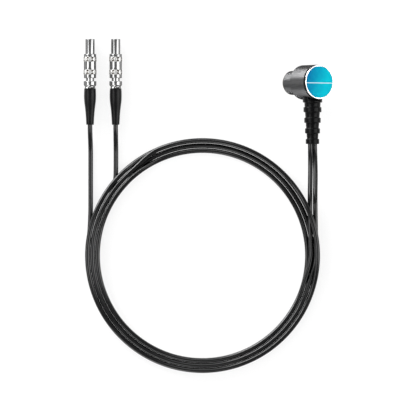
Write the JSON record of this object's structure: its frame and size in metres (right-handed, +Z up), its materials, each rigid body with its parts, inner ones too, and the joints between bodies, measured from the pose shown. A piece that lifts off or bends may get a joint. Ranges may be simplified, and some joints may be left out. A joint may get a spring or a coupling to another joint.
{
  "type": "ultrasonic thickness gauge probe",
  "caption": "Dual-element ultrasonic thickness gauge probe: stepped metal head, ribbed strain relief, and thin coaxial leads in a round coil ending in push-pull plugs.",
  "frame": {"origin": "middle of the underside of the box round the head and its strain relief, on the surface that the probe lies on", "axes": "+Z up from the surface, +Y from the strain relief towards the head and from the boots towards the plug tips, +X from the plugs towards the head"},
  "size_m": [0.1244, 0.1667, 0.0276],
  "materials": {
    "head_case": "satin turned metal",
    "bright_cap": "bright turned metal",
    "label": "glossy teal with a white divider line",
    "delay_block": "lapped amber plastic",
    "cork": "matte cork",
    "crystal": "fired ceramic",
    "backing": "cast damping resin",
    "board": "green circuit board",
    "copper": "enamelled copper winding",
    "black_rubber": "satin black rubber",
    "lead_jacket": "satin black cable jacket",
    "plug_nickel": "bright nickel",
    "insulator": "white plastic",
    "gold_contact": "gold-coloured contact metal",
    "boot_rubber": "satin black rubber"
  },
  "bodies": {
    "probe": {"head_case": "head_case", "back_cap": "bright_cap", "label_disc": "label", "transmit_delay_block": "delay_block", "receive_delay_block": "delay_block", "acoustic_barrier": "cork", "transmit_crystal": "crystal", "receive_crystal": "crystal", "transmit_backing": "backing", "receive_backing": "backing", "terminal_board": "board", "transmit_tuning_coil": "copper", "receive_tuning_coil": "copper", "strain_relief": "black_rubber", "head_lead_left": "lead_jacket", "head_lead_right": "lead_jacket", "lead_coil": "lead_jacket", "plug_lead_left": "lead_jacket", "plug_lead_right": "lead_jacket", "left_plug_shell": "plug_nickel", "left_plug_insulator": "insulator", "left_contact_pin": "gold_contact", "left_cable_collet": "gold_contact", "left_collet_nut": "plug_nickel", "left_bend_relief_boot": "boot_rubber", "right_plug_shell": "plug_nickel", "right_plug_insulator": "insulator", "right_contact_pin": "gold_contact", "right_cable_collet": "gold_contact", "right_collet_nut": "plug_nickel", "right_bend_relief_boot": "boot_rubber"},
    "left_sleeve": {"left_release_sleeve": "plug_nickel"},
    "right_sleeve": {"right_release_sleeve": "plug_nickel"}
  },
  "joints": [
    {"name": "left_sleeve_slide", "type": "slide", "parent": "probe", "child": "left_sleeve", "axis": [0, -1, 0], "range_m": [0, 0.0012], "stiffness_N_per_m": 400},
    {"name": "right_sleeve_slide", "type": "slide", "parent": "probe", "child": "right_sleeve", "axis": [0, -1, 0], "range_m": [0, 0.0012], "stiffness_N_per_m": 400}
  ]
}
